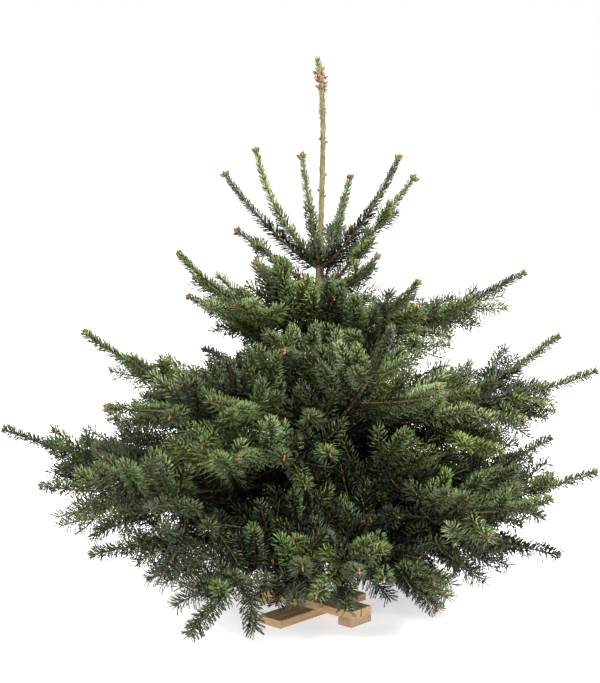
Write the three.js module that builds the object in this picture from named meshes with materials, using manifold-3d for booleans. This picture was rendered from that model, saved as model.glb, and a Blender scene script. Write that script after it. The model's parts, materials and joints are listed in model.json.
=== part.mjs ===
// A cut Nordmann fir on a nailed wooden cross, sold as a small Christmas tree and undecorated.
// Units are millimetres, +Z is up, +X is the tree's right and the viewer stands on its -Y side.
// The origin is on the underside of the cross, below the middle of the trunk.
//
// The trunk runs whole from the cross to the bare leader. Boughs leave it in whorls, one for each year of
// growth. A bough is a limb that ends where its foliage starts, and the foliage is a frond: a stem along the
// same curve with side shoots in opposite pairs. The needles of a shoot are one toothed blade around it.
import * as THREE from "three";
import { mergeVertices } from "three/addons/utils/BufferGeometryUtils.js";
import Module from "manifold-3d";

const wasm = await Module();
wasm.setup();

// ---------------------------------------------------------------- driving dimensions

const GAP = 0.3; // clearance between pieces that touch on the real tree
const TOP = 1250; // the leader's tip above the floor

// Two boards cross at a right angle. The upper one lies on the lower and has a block under each end.
const STAND = {
  length: 290,
  width: 70,
  board: 18,
  block: 38, // length of a foot block
  turn: 47.5, // degrees from +X to the lower board
  kerfWidth: 4, // a saw cut in the upper board's front end
  kerfLength: 14,
  edge: 1.5, // the boards' worn edges
};

// Radius of the trunk at heights above the floor, from the flare at its cut foot to the leader's tip.
const SHOULDER = 2 * (STAND.board + GAP);
const TAPER = [
  [SHOULDER, 31],
  [52, 27.5],
  [85, 25.5],
  [150, 24],
  [286, 20.5],
  [449, 16.5],
  [618, 12.5],
  [728, 10.5],
  [792, 9.5],
  [808, 6.3],
  [1000, 5.5],
  [1180, 4.8],
  [1203, 6.4], // the leader swells under its last buds
  [1224, 5],
  [TOP, 1.5],
];
const PEG = 17.7; // radius of the foot's peg, which sits in a hole through the upper board

// The trunk leans a little to the right, and the leader bows back near its tip: [height, offset].
const LEAN = [
  [0, 0],
  [SHOULDER, 0],
  [792, 14],
  [1070, 21],
  [1190, 18],
  [TOP, 8],
];
const TRUNK_SIDES = 10;
const HOLE_SIDES = 20;

// Buds that stand off the leader: [height, azimuth in degrees].
const LEADER_BUDS = [
  [948, 20],
  [962, 200],
  [990, 300],
  [1068, 15],
  [1074, 170],
  [1196, 10],
  [1204, 130],
  [1212, 250],
];
const BUD = { length: 13, radius: 3.4, sides: 5, rise: 40 };

// The whorls from the top down. A bough is [azimuth, reach, rise, curl]: its reach in millimetres is the
// straight line from the trunk to its tip, its rise the slope of that line, and its curl is how far it turns
// up on the way. Azimuth turns from +X towards +Y, and the three angles are in degrees. Neighbours leave the
// trunk `stagger` below and above the whorl's height. `limb` is the share of a bough that is bare wood, in a
// node of its own. `nodes` are the shares of its length where a pair of side shoots leaves it, and `share` is
// their length against the bough beyond. Of a pair, one shoot rises `raise` degrees out of the bough's plane,
// on alternate sides, and the other sinks by `droop`. The last five rows shape the blade of needles.
const WHORLS = [
  {
    name: "crown",
    height: 792,
    stagger: 5,
    radius: 4,
    nodes: [],
    halfWidth: 19,
    slim: 0.6,
    thick: 10,
    teeth: 8,
    wings: 3,
    boughs: [
      [174, 298, 45, 21],
      [154, 297, 58, 41],
      [256, 308, 58, 5],
      [68, 263, 44, 25],
      [320, 335, 50, 25],
    ],
  },
  {
    name: "shoulder",
    height: 728,
    stagger: 10,
    radius: 4.5,
    nodes: [0.34],
    share: 0.45,
    raise: 2,
    droop: 10,
    halfWidth: 32,
    slim: 0.5,
    thick: 11,
    teeth: 6,
    wings: 2,
    boughs: [
      [351, 345, 53, 4],
      [173, 227, 36, 4],
      [230, 235, 26, 12],
      [310, 213, 27, 44],
      [72, 285, 48, 12],
    ],
  },
  {
    name: "upper",
    height: 618,
    stagger: 26,
    radius: 6,
    nodes: [0.28, 0.5],
    share: 0.62,
    raise: 2,
    droop: 16,
    halfWidth: 56,
    slim: 0.24,
    thick: 15,
    teeth: 8,
    wings: 3,
    boughs: [
      [355, 494, 23, 15],
      [316, 323, 26, 43],
      [254, 265, 12, 23],
      [199, 372, 31, 43],
      [168, 324, 23, 11],
      [83, 430, 10, 19],
    ],
  },
  {
    name: "middle",
    height: 449,
    stagger: 34,
    limb: 0.18,
    radius: 6.5,
    nodes: [0.3, 0.48, 0.67],
    share: 0.66,
    raise: -4,
    droop: 19,
    halfWidth: 66,
    slim: 0.2,
    thick: 18,
    teeth: 9,
    wings: 3,
    boughs: [
      [21, 639, 17, 38],
      [359, 628, 7, 30],
      [292, 495, 37, 34],
      [222, 584, 7, 10],
      [249, 445, 5, 6],
      [139, 360, 14, 6],
      [197, 581, 26, 26],
      [69, 510, 13, 10],
    ],
  },
  {
    name: "lower",
    height: 286,
    stagger: 34,
    limb: 0.18,
    radius: 6.8,
    nodes: [0.3, 0.48, 0.67],
    share: 0.66,
    raise: 16,
    droop: 30,
    halfWidth: 68,
    slim: 0.2,
    thick: 18,
    teeth: 9,
    wings: 3,
    boughs: [
      [350, 633, 9, 28],
      [324, 600, 3, 40],
      [280, 490, -2, 32],
      [220, 727, 7, 16],
      [169, 751, 11, 16],
      [147, 680, 0, 20],
      [72, 570, 17, 24],
      [23, 612, 3, 44],
    ],
  },
  {
    name: "skirt",
    height: 150,
    stagger: 20,
    radius: 8,
    nodes: [0.36, 0.62],
    share: 0.66,
    raise: 12,
    droop: 30,
    halfWidth: 62,
    slim: 0.22,
    thick: 16,
    teeth: 8,
    wings: 3,
    boughs: [
      [332, 590, 8, -28],
      [303, 463, -5, -28],
      [264, 420, 3, -24],
      [243, 562, -6, -28],
      [208, 544, 8, -28],
      [147, 435, 3, -28],
      [40, 465, -10, -24],
    ],
  },
];

// How side shoots leave a bough.
const SHOOT = {
  spread: 0.16, // seeded variation of a shoot's length
  angle: 52, // degrees off the bough
  turn: 22, // degrees that a shoot bends forward on its way
  tilt: 8, // seeded variation of the degrees that a shoot rises or sinks
  roll: 35, // seeded turn of a shoot's blade about the shoot
  lift: 8, // degrees that a shoot rises on its way
  stalk: 34, // bare length at a shoot's root
  width: 0.86, // widths and thicknesses are this share of the bough's own
  pitch: 84, // length along the shoot for one tooth
  // Shares of a shoot's length, angle and tilt that are tried until it keeps to its own space.
  shorter: [1, 0.8, 0.62, 0.48, 0.36],
  closer: [1, 0.7, 0.45],
  flatter: [1, 0.4, -0.4],
};

// A tooth: its notch's depth and its point's lift are shares of the half width, its sweep one of the pitch.
const TOOTH = { notch: 0.5, sweep: 0.35, lift: 0.28 };

const AXIS_POINTS = 24; // points along a bough that mark the space around it
const SPACE_MARGIN = 6; // a shoot's points are this much nearer to their own bough than to any other
const FLOOR_CLEARANCE = 24;

// ---------------------------------------------------------------- materials

const finish = (color, roughness) => new THREE.MeshStandardMaterial({ color, roughness, metalness: 0 });
const bark = finish("#5b4a38", 0.9);
const sawn = finish("#d2bf99", 0.8);
const needles = finish("#3a5230", 0.6);

// ---------------------------------------------------------------- helpers

const radians = THREE.MathUtils.degToRad;
const UP = new THREE.Vector3(0, 0, 1);

function direction(azimuth, rise) {
  const [a, e] = [radians(azimuth), radians(rise)];
  return new THREE.Vector3(Math.cos(a) * Math.cos(e), Math.sin(a) * Math.cos(e), Math.sin(e));
}

// The value at `x` of a line through the table's [x, value] rows.
function between(table, x) {
  const i = Math.min(Math.max(table.findIndex(([end]) => end >= x), 1), table.length - 1);
  const [[x0, y0], [x1, y1]] = [table[i - 1], table[i]];
  return THREE.MathUtils.mapLinear(x, x0, x1, y0, y1);
}

// A repeatable stream of numbers from 0 to 1.
function seeded(seed) {
  let state = seed;
  return () => {
    state = (Math.imul(state, 1664525) + 1013904223) >>> 0;
    return state / 2 ** 32;
  };
}

// The line of a bough or shoot: an arc that leaves `start` along `from` and ends along `to`.
class Arc extends THREE.Curve {
  constructor(start, from, to, length) {
    super();
    Object.assign(this, { start, from, length, bend: from.angleTo(to) });
    this.across = to.clone().addScaledVector(from, -to.dot(from)).normalize();
  }

  getPoint(t) {
    const radius = this.length / this.bend;
    return this.start
      .clone()
      .addScaledVector(this.from, radius * Math.sin(this.bend * t))
      .addScaledVector(this.across, radius * (1 - Math.cos(this.bend * t)));
  }

  getTangent(t) {
    const forward = this.from.clone().multiplyScalar(Math.cos(this.bend * t));
    return forward.addScaledVector(this.across, Math.sin(this.bend * t));
  }
}

// The centre of a curve at `t` and its three directions: along, to the right, and towards `normal`.
function frameAt(curve, t, normal) {
  const along = curve.getTangent(t);
  const side = along.clone().cross(normal).normalize();
  return { centre: curve.getPoint(t), along, side, up: side.clone().cross(along) };
}

function offset({ centre, along, side, up }, right, rise, ahead = 0) {
  return centre
    .clone()
    .addScaledVector(side, right)
    .addScaledVector(up, rise)
    .addScaledVector(along, ahead);
}

// A closed mesh as a solid: corners that meet become one, and a pole's empty triangles are dropped.
function solid(geometry) {
  geometry.deleteAttribute("normal");
  geometry.deleteAttribute("uv");
  const merged = mergeVertices(geometry);
  const corners = merged.index.array;
  const triVerts = [];
  for (let i = 0; i < corners.length; i += 3) {
    const [a, b, c] = corners.slice(i, i + 3);
    if (a !== b && b !== c && c !== a) triVerts.push(a, b, c);
  }
  const vertProperties = Float32Array.from(merged.attributes.position.array);
  const mesh = new wasm.Mesh({ numProp: 3, vertProperties, triVerts: Uint32Array.from(triVerts) });
  return new wasm.Manifold(mesh);
}

function named(name, body, material) {
  const { vertProperties, triVerts } = body.getMesh();
  const geometry = new THREE.BufferGeometry();
  geometry.setAttribute("position", new THREE.BufferAttribute(vertProperties, 3));
  geometry.setIndex(new THREE.BufferAttribute(triVerts, 1));
  geometry.computeVertexNormals();
  const mesh = new THREE.Mesh(geometry, material);
  mesh.name = name;
  return mesh;
}

// Fusing can seal a hollow or leave a scrap. Each is a shell of its own, so the largest shell is the piece.
function largestShell(body) {
  const shells = body.decompose();
  return shells.reduce((best, shell) => (shell.volume() > best.volume() ? shell : best));
}

// A tapering limb along a curve: a cylinder whose rings are carried onto it.
function limb(curve, [t0, t1], [radius0, radius1], sides, steps) {
  const geometry = new THREE.CylinderGeometry(1, 1, 1, sides, steps);
  const position = geometry.attributes.position;
  for (let i = 0; i < position.count; i += 1) {
    const share = position.getY(i) + 0.5;
    const radius = THREE.MathUtils.lerp(radius0, radius1, share);
    const frame = frameAt(curve, THREE.MathUtils.lerp(t0, t1, share), UP);
    const point = offset(frame, radius * position.getX(i), radius * position.getZ(i));
    position.setXYZ(i, point.x, point.y, point.z);
  }
  return solid(geometry);
}

// ---------------------------------------------------------------- trunk

// The trunk, or the same shape `grown` by a clearance, which cuts the roots of the limbs.
function trunkBody(grown = 0) {
  const profile = TAPER.map(([z, radius]) => new THREE.Vector2(radius + grown, z));
  const peg = STAND.board + GAP;
  const foot = [[0, peg], [PEG, peg], [PEG, SHOULDER]].map(([r, z]) => new THREE.Vector2(r, z));
  const geometry = new THREE.LatheGeometry([...foot, ...profile, new THREE.Vector2(0, TOP)], TRUNK_SIDES);
  geometry.rotateX(Math.PI / 2);
  const position = geometry.attributes.position;
  for (let i = 0; i < position.count; i += 1) {
    position.setX(i, position.getX(i) + between(LEAN, position.getZ(i)));
  }
  return solid(geometry);
}

function leaderBud([height, azimuth]) {
  const from = direction(azimuth, BUD.rise);
  const start = new THREE.Vector3(between(LEAN, height), 0, height);
  const line = new Arc(start, from, direction(azimuth, BUD.rise + 10), BUD.length);
  return limb(line, [0, 1], [BUD.radius, 0.8], BUD.sides, 2);
}

function trunk() {
  const body = LEADER_BUDS.reduce((sum, bud) => sum.add(leaderBud(bud)), trunkBody());
  return named("trunk", body, bark);
}

// ---------------------------------------------------------------- stand

// A board of the cross's width, `length` along X and centred, with its underside at z = 0.
function board(length) {
  const [y, z, c] = [STAND.width / 2, STAND.board, STAND.edge];
  const section = new THREE.Shape([
    new THREE.Vector2(-y + c, 0),
    new THREE.Vector2(y - c, 0),
    new THREE.Vector2(y, c),
    new THREE.Vector2(y, z - c),
    new THREE.Vector2(y - c, z),
    new THREE.Vector2(-y + c, z),
    new THREE.Vector2(-y, z - c),
    new THREE.Vector2(-y, c),
  ]);
  const geometry = new THREE.ExtrudeGeometry(section, { depth: length, bevelEnabled: false });
  geometry.rotateX(Math.PI / 2).rotateZ(Math.PI / 2);
  geometry.translate(-length / 2, 0, 0);
  return solid(geometry);
}

// The upper board has a hole for the trunk's peg, and a saw cut in the middle of its front end.
function upperBoard() {
  const through = 3 * STAND.board;
  const radius = (PEG + GAP) / Math.cos(Math.PI / HOLE_SIDES);
  const hole = new THREE.CylinderGeometry(radius, radius, through, HOLE_SIDES).rotateX(Math.PI / 2);
  const kerf = new THREE.BoxGeometry(2 * STAND.kerfLength, STAND.kerfWidth, through);
  kerf.translate(STAND.length / 2, 0, 0);
  return board(STAND.length).subtract(solid(hole)).subtract(solid(kerf));
}

function stand() {
  const group = new THREE.Group();
  group.rotation.z = radians(STAND.turn);
  group.add(named("lower_board", board(STAND.length), sawn));

  const upper = named("upper_board", upperBoard(), sawn);
  upper.position.z = STAND.board + GAP;
  const cross = new THREE.Group();
  cross.rotation.z = -Math.PI / 2;
  cross.add(upper);
  for (const [name, end] of [["foot_block_front", 1], ["foot_block_back", -1]]) {
    const block = named(name, board(STAND.block), sawn);
    block.position.x = (end * (STAND.length - STAND.block)) / 2;
    cross.add(block);
  }
  return group.add(cross);
}

// ---------------------------------------------------------------- boughs

// A bough's line, as a table row and its whorl give it.
function boughLine(whorl, index) {
  const [azimuth, reach, rise, curl] = whorl.boughs[index];
  const height = whorl.height + (index % 2 ? whorl.stagger : -whorl.stagger);
  const half = radians(Math.abs(curl)) / 2;
  const length = (reach * half) / Math.sin(half);
  const start = new THREE.Vector3(between(LEAN, height), 0, height);
  return new Arc(
    start,
    direction(azimuth, rise - curl / 2),
    direction(azimuth, rise + curl / 2),
    length,
  );
}

const BOUGHS = WHORLS.flatMap((whorl, w) =>
  whorl.boughs.map((row, index) => {
    const line = boughLine(whorl, index);
    const name = `${whorl.name}_${index + 1}`;
    return { name, whorl, line, seed: 100 * (w + 1) + index, marks: line.getPoints(AXIS_POINTS) };
  }),
);

// Whether every point is nearer to its own bough than to any other, and well above the floor.
function keepsToItsSpace(points, own) {
  const distance = (bough, point) => Math.min(...bough.marks.map((mark) => mark.distanceTo(point)));
  return points.every((point) => {
    const limit = distance(own, point) + SPACE_MARGIN;
    return point.z > FLOOR_CLEARANCE && BOUGHS.every((b) => b === own || distance(b, point) > limit);
  });
}

// ---------------------------------------------------------------- foliage

// The width of a blade along its length, as a share of its widest: it opens fast and slims towards `slim`.
const swell = (share, slim) => Math.min(1, 0.5 + 2 * share) * THREE.MathUtils.lerp(1, slim, share ** 1.2);

// The corners of a toothed blade on a shoot from its `root` on. Its wings stand off the line at even angles:
// each has a rim of notches and of teeth that are swept forward, and a ridge runs between two wings.
function bladePoints({ line, normal, root, first, halfWidth, slim, thick, teeth, wings }) {
  const points = [];
  const add = (t, radius, angle, ahead = 0) => {
    const frame = frameAt(line, t, normal);
    const rise = radius * Math.sin(angle) + (wings === 2 ? TOOTH.lift * radius * Math.cos(angle) ** 2 : 0);
    return points.push(offset(frame, radius * Math.cos(angle), rise, ahead)) - 1;
  };
  const at = (share) => THREE.MathUtils.lerp(first, 1, share);
  const pitch = ((1 - first) * line.length) / teeth;
  const ends = [add(root, 0, 0), add(1, 0, 0)];
  const ridges = [];
  const rims = [];
  for (let wing = 0; wing < wings; wing += 1) {
    const angle = (2 * Math.PI * wing) / wings + (wings % 2 ? -Math.PI / 2 : 0);
    const [ridge, notch, tip] = [[], [], []];
    for (let i = 0; i < teeth; i += 1) {
      const depth = (thick / 2) * (1 - 0.6 * (i / teeth));
      const wide = halfWidth * swell(i / teeth, slim);
      ridge.push(add(at(i / teeth), depth, angle + Math.PI / wings));
      notch.push(add(at(i / teeth), wide * TOOTH.notch, angle));
      tip.push(add(at((i + 1) / teeth), wide, angle, pitch * TOOTH.sweep));
    }
    ridges.push(ridge);
    rims.push({ notch, tip });
  }
  return { points, ridges, rims, ends };
}

function blade(shape) {
  const { points, ridges, rims, ends } = bladePoints(shape);
  const [root, end] = ends;
  const faces = [];
  const panel = (ridge, { notch, tip }, turned) => {
    const face = (a, b, c) => faces.push(...(turned ? [a, c, b] : [a, b, c]));
    face(root, notch[0], ridge[0]);
    ridge.forEach((top, i) => {
      const last = i + 1 === ridge.length;
      face(top, notch[i], tip[i]);
      face(top, tip[i], last ? end : notch[i + 1]);
      if (!last) face(top, notch[i + 1], ridge[i + 1]);
    });
  };
  rims.forEach((rim, wing) => {
    panel(ridges[wing], rim, false);
    panel(ridges.at(wing - 1), rim, true);
  });
  const geometry = new THREE.BufferGeometry().setFromPoints(points);
  geometry.setIndex(faces);
  return solid(geometry);
}

// The side shoots of a bough. Each gives its line and the normal of its blade for a share of its full length,
// of its angle off the bough and of its tilt.
function sideShoots({ whorl, line, seed }) {
  const next = seeded(seed);
  const vary = (amount) => (2 * next() - 1) * amount;
  return whorl.nodes.flatMap((node, pair) => {
    const { centre, along, side, up } = frameAt(line, node, UP);
    return [1, -1].map((hand) => {
      const length = whorl.share * (1 - node) * line.length * (1 + vary(SHOOT.spread));
      const raised = (hand > 0) === (pair % 2 > 0);
      const tilt = (raised ? whorl.raise : -whorl.droop) + vary(SHOOT.tilt);
      const roll = radians(vary(SHOOT.roll));
      const heading = (angle, rise) =>
        along
          .clone()
          .multiplyScalar(Math.cos(radians(angle)))
          .addScaledVector(side, hand * Math.sin(radians(angle)))
          .addScaledVector(up, Math.tan(radians(rise)))
          .normalize();
      return (shorter, closer, flatter) => {
        const from = heading(SHOOT.angle * closer, tilt * flatter);
        const to = heading((SHOOT.angle - SHOOT.turn) * closer, tilt * flatter + SHOOT.lift);
        const normal = up.clone().applyAxisAngle(from, roll);
        return { line: new Arc(centre, from, to, length * shorter), normal };
      };
    });
  });
}

// A shoot's blade, as long as it can be while it keeps to its bough's own space, or nothing.
function fitted(shoot, bough) {
  const { halfWidth, slim, thick } = bough.whorl;
  for (const shorter of SHOOT.shorter) {
    for (const closer of SHOOT.closer) {
      for (const flatter of SHOOT.flatter) {
        const { line, normal } = shoot(shorter, closer, flatter);
        const shape = {
          line,
          normal,
          root: 0,
          first: Math.min(SHOOT.stalk / line.length, 0.4),
          halfWidth: halfWidth * SHOOT.width * Math.sqrt(shorter),
          slim,
          thick: thick * SHOOT.width,
          teeth: Math.max(2, Math.round((line.length - SHOOT.stalk) / SHOOT.pitch)),
          wings: 2,
        };
        if (keepsToItsSpace(bladePoints(shape).points, bough)) return [blade(shape)];
      }
    }
  }
  return [];
}

function frond(bough, clearance) {
  const { whorl, line } = bough;
  const bare = whorl.limb ?? 0;
  const start = bare ? bare + GAP / line.length : 0;
  const first = Math.max(bare + 0.04, 0.14);
  const radii = [whorl.radius * (1 - 0.6 * bare), whorl.radius * 0.4];
  const stem = limb(line, [start, first + 0.03], radii, 3, 2);
  const main = blade({ ...whorl, line, normal: UP, root: first - 0.02, first });
  const blades = sideShoots(bough).flatMap((shoot) => fitted(shoot, bough));
  const body = [main, ...blades].reduce((sum, part) => sum.add(part), stem);
  return largestShell(bare ? body : body.subtract(clearance));
}

function bareLimb({ whorl, line }, clearance) {
  const radii = [whorl.radius, whorl.radius * (1 - 0.55 * whorl.limb)];
  return largestShell(limb(line, [0, whorl.limb], radii, 6, 3).subtract(clearance));
}

// ---------------------------------------------------------------- assembly

const group = new THREE.Group();
group.add(stand(), trunk());

const clearance = trunkBody(GAP);
for (const bough of BOUGHS) {
  if (bough.whorl.limb) group.add(named(`bough_${bough.name}`, bareLimb(bough, clearance), bark));
  group.add(named(`foliage_${bough.name}`, frond(bough, clearance), needles));
}

export default group;
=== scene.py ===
# %% [markdown]
# # A cut Nordmann fir on a wooden cross
#
# This lesson dresses a small Christmas tree. The CAD model gives the trunk, the cross, and a few dozen
# masses of foliage as coarse toothed blades. Here the same growth rule is carried on to fine twigs, and the
# twigs carry real needles. One unit is a metre, +Z is up, and the viewer stands on the -Y side.

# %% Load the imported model
import json
import math

import bmesh
import bpy
import numpy as np
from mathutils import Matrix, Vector, noise

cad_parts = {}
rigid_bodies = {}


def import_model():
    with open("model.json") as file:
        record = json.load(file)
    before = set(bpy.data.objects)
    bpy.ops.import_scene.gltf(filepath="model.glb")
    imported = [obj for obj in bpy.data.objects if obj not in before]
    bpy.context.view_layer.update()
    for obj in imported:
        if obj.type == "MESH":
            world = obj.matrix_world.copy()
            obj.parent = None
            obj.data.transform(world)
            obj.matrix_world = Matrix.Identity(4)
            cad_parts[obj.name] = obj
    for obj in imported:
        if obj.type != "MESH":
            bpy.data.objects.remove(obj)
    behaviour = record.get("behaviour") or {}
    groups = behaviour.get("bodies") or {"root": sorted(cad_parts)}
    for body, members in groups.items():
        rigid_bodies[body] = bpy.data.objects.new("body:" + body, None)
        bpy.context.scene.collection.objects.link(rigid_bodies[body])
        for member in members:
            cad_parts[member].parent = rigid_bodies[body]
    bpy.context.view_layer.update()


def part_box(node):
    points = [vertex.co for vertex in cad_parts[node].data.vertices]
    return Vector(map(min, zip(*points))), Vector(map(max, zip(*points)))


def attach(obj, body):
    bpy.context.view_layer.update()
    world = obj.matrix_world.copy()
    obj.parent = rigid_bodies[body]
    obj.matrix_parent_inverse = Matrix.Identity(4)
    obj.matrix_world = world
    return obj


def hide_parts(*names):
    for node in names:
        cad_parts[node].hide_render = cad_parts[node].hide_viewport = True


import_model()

BODY = "root"
MM = 0.001

# %% [markdown]
# ## Colours and materials
#
# Colours are written as sRGB hex values, as a paint chart gives them, and a shader wants them linear. One
# function turns them, and one small function adds a shader node with its settings and links.

# %% Material helpers
def linear(code):
    """The linear colour of an sRGB hex value."""
    channels = [int(code[i : i + 2], 16) / 255 for i in (1, 3, 5)]
    return (*[c / 12.92 if c <= 0.04045 else ((c + 0.055) / 1.055) ** 2.4 for c in channels], 1)


def add(material, kind, settings=None, **inputs):
    """Adds a node. Settings are the node's own, and inputs are values or other nodes' outputs.

    An input is named, or is _6 for the socket with number 6, where several share a name.
    """
    made = material.node_tree.nodes.new(kind)
    for key, value in (settings or {}).items():
        setattr(made, key, value)
    for key, value in inputs.items():
        socket = made.inputs[int(key[1:]) if key[1:].isdigit() else key.replace("_", " ")]
        if isinstance(value, bpy.types.NodeSocket):
            material.node_tree.links.new(value, socket)
        else:
            socket.default_value = value
    return made


def finish(name, color, roughness, specular=0.5):
    """A new material with its shader, whose plain values sit on the shader's own sockets."""
    material = bpy.data.materials.new(name)
    material.use_nodes = True
    shader = material.node_tree.nodes["Principled BSDF"]
    shader.inputs["Base Color"].default_value = linear(color)
    shader.inputs["Roughness"].default_value = roughness
    shader.inputs["Specular IOR Level"].default_value = specular
    material.diffuse_color = linear(color)
    return material, shader


def colored(made, stops):
    """The colour that comes out of a ramp, once it has its (position, hex colour) stops."""
    stops = list(stops)
    elements = made.color_ramp.elements
    while len(elements) < len(stops):
        elements.new(0.5)
    for element, (position, color) in zip(elements, stops):
        element.position = position
        element.color = linear(color)
    return made.outputs["Color"]


def piece(name, mesh, materials, slot, *nodes):
    """Puts a finished mesh in the scene, on the one body, in place of its CAD nodes."""
    made = bpy.data.objects.new(name, mesh)
    bpy.context.scene.collection.objects.link(made)
    for material in materials:
        mesh.materials.append(material)
    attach(made, BODY)
    if nodes:
        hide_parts(*nodes)
    return made

# %% [markdown]
# ## Camera, light and floor
#
# The camera stands four metres off, as high as the tree's top, looking down by nine degrees, with a long
# lens that keeps the boughs' proportions. A white world and a big key from the front right are what a product
# studio uses: the light wraps round the needles, and the crown's inside goes dark, with painted shade on its
# inner needles as well. The floor is a light table. A painted floor alone turns grey under so wide a crown,
# so it glows a little of its own.

# %% Set the stage
CAMERA = {"place": (-0.030, -4.0, 1.280), "looks_down": 9.28, "lens": 95.5}
# Name, place, aim, diameter in metres and power in watts.
LIGHTS = [
    ("key", (1.8, -3.0, 3.8), (0, 0, 0.4), 2.0, 860),
    ("fill", (-3.2, -2.2, 2.8), (0, 0, 0.4), 3.0, 120),
    ("low", (0.4, -4.6, 0.9), (0, 0, 0.1), 2.0, 60),
    ("top", (0.3, 0.8, 4.4), (0, 0, 0.2), 3.0, 160),
]
FLOOR_HALF, FLOOR_GLOW = 30, 0.5


def area_light(name, place, aim, size, power):
    """A round lamp that looks at a point."""
    data = bpy.data.lights.new(name, "AREA")
    data.shape, data.size, data.energy = "DISK", size, power
    lamp = bpy.data.objects.new(name, data)
    lamp.location = place
    lamp.rotation_euler = (Vector(aim) - Vector(place)).to_track_quat("-Z", "Y").to_euler()
    bpy.context.scene.collection.objects.link(lamp)


def set_camera(scene):
    data = bpy.data.cameras.new("camera")
    data.lens, data.sensor_width = CAMERA["lens"], 36
    data.clip_start, data.clip_end = 0.1, 60
    camera = bpy.data.objects.new("camera", data)
    camera.location = CAMERA["place"]
    camera.rotation_euler = (math.radians(90 - CAMERA["looks_down"]), 0, 0)
    scene.collection.objects.link(camera)
    scene.camera = camera


def set_world(scene):
    world = bpy.data.worlds.new("studio")
    world.use_nodes = True
    world.node_tree.nodes["Background"].inputs["Color"].default_value = (1, 1, 1, 1)
    world.node_tree.nodes["Background"].inputs["Strength"].default_value = 1.0
    scene.world = world
    scene.view_settings.view_transform = "Standard"


def set_floor(scene):
    bm = bmesh.new()
    bmesh.ops.create_grid(bm, x_segments=1, y_segments=1, size=FLOOR_HALF)
    mesh = bpy.data.meshes.new("floor")
    bm.to_mesh(mesh)
    bm.free()
    floor = bpy.data.objects.new("floor", mesh)
    # Matt white studio paint, lit a little from below: it gives no reflection and only the palest shadow.
    paint, shader = finish("studio_floor_paint", "#ffffff", 0.9, 0.1)
    shader.inputs["Emission Color"].default_value = (1, 1, 1, 1)
    shader.inputs["Emission Strength"].default_value = FLOOR_GLOW
    mesh.materials.append(paint)
    scene.collection.objects.link(floor)


set_camera(bpy.context.scene)
set_world(bpy.context.scene)
for row in LIGHTS:
    area_light(*row)
set_floor(bpy.context.scene)
print("stage: a camera,", len(LIGHTS), "lights and a floor")

# %% [markdown]
# ## The growth rule
#
# A fir adds one whorl of boughs and one length of shoot each year. The CAD source draws every bough as an arc
# from the trunk, with side shoots in pairs at a few nodes. The same table and the same rule are written again
# here, so each twig below starts from a limb that the solids have too.

# %% The whorls, in millimetres and degrees
TOP = round(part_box("trunk")[1][2] / MM)
print("the leader's tip is at", TOP, "mm")
# Height and the trunk's middle there, and then height and the trunk's radius.
LEAN = [(0, 0), (36.6, 0), (792, 14), (1070, 21), (1190, 18), (TOP, 8)]
TAPER = [
    (36.6, 31), (52, 27.5), (85, 25.5), (150, 24), (286, 20.5), (449, 16.5), (618, 12.5), (728, 10.5),
    (792, 9.5), (808, 6.3), (1000, 5.5), (1180, 4.8), (1203, 6.4), (1224, 5), (TOP, 1.5),
]
# A whorl's boughs leave the trunk `stagger` above and below its height. Each row has a bough's azimuth,
# reach, mean rise and how far it curls up. `nodes` are the places of its side shoots, as parts of its length,
# `share` their length against what is left of the bough, and `raise` and `droop` how they tilt in turn.
WHORLS = {
    "crown": {
        "height": 792, "stagger": 5, "radius": 4, "nodes": [],
        "share": 0, "raise": 12, "droop": 22,
        "boughs": [
            (174, 298, 45, 21), (154, 297, 58, 41), (256, 308, 58, 5), (68, 263, 44, 25),
            (320, 335, 50, 25),
        ],
    },
    "shoulder": {
        "height": 728, "stagger": 10, "radius": 4.5, "nodes": [0.34],
        "share": 0.45, "raise": 2, "droop": 10,
        "boughs": [
            (351, 345, 53, 4), (173, 227, 36, 4), (230, 235, 26, 12), (310, 213, 27, 44),
            (72, 285, 48, 12),
        ],
    },
    "upper": {
        "height": 618, "stagger": 26, "radius": 6, "nodes": [0.28, 0.5],
        "share": 0.62, "raise": 2, "droop": 16,
        "boughs": [
            (355, 494, 23, 15), (316, 323, 26, 43), (254, 265, 12, 23), (199, 372, 31, 43),
            (168, 324, 23, 11), (83, 430, 10, 19),
        ],
    },
    "middle": {
        "height": 449, "stagger": 34, "radius": 6.5, "nodes": [0.3, 0.48, 0.67],
        "share": 0.66, "raise": -4, "droop": 19,
        "boughs": [
            (21, 639, 17, 38), (359, 628, 7, 30), (292, 495, 37, 34), (222, 584, 7, 10),
            (249, 445, 5, 6), (139, 360, 14, 6), (197, 581, 26, 26), (69, 510, 13, 10),
        ],
    },
    "lower": {
        "height": 286, "stagger": 34, "radius": 6.8, "nodes": [0.3, 0.48, 0.67],
        "share": 0.66, "raise": 16, "droop": 30,
        "boughs": [
            (350, 633, 9, 28), (324, 600, 3, 40), (280, 490, -2, 32), (220, 727, 7, 16),
            (169, 751, 11, 16), (147, 680, 0, 20), (72, 570, 17, 24), (23, 612, 3, 44),
        ],
    },
    "skirt": {
        "height": 150, "stagger": 20, "radius": 8, "nodes": [0.36, 0.62],
        "share": 0.66, "raise": 12, "droop": 30,
        "boughs": [
            (332, 590, 8, -28), (303, 463, -5, -28), (264, 420, 3, -24), (243, 562, -6, -28),
            (208, 544, 8, -28), (147, 435, 3, -28), (40, 465, -10, -24),
        ],
    },
}
SHOOT = {"spread": 0.16, "angle": 52, "turn": 22, "tilt": 8, "roll": 35, "lift": 8}

# %% Arcs and side shoots
UP = np.array([0.0, 0.0, 1.0])


def unit(v):
    """v at length 1, row by row."""
    return v / np.linalg.norm(v, axis=-1, keepdims=True)


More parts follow.
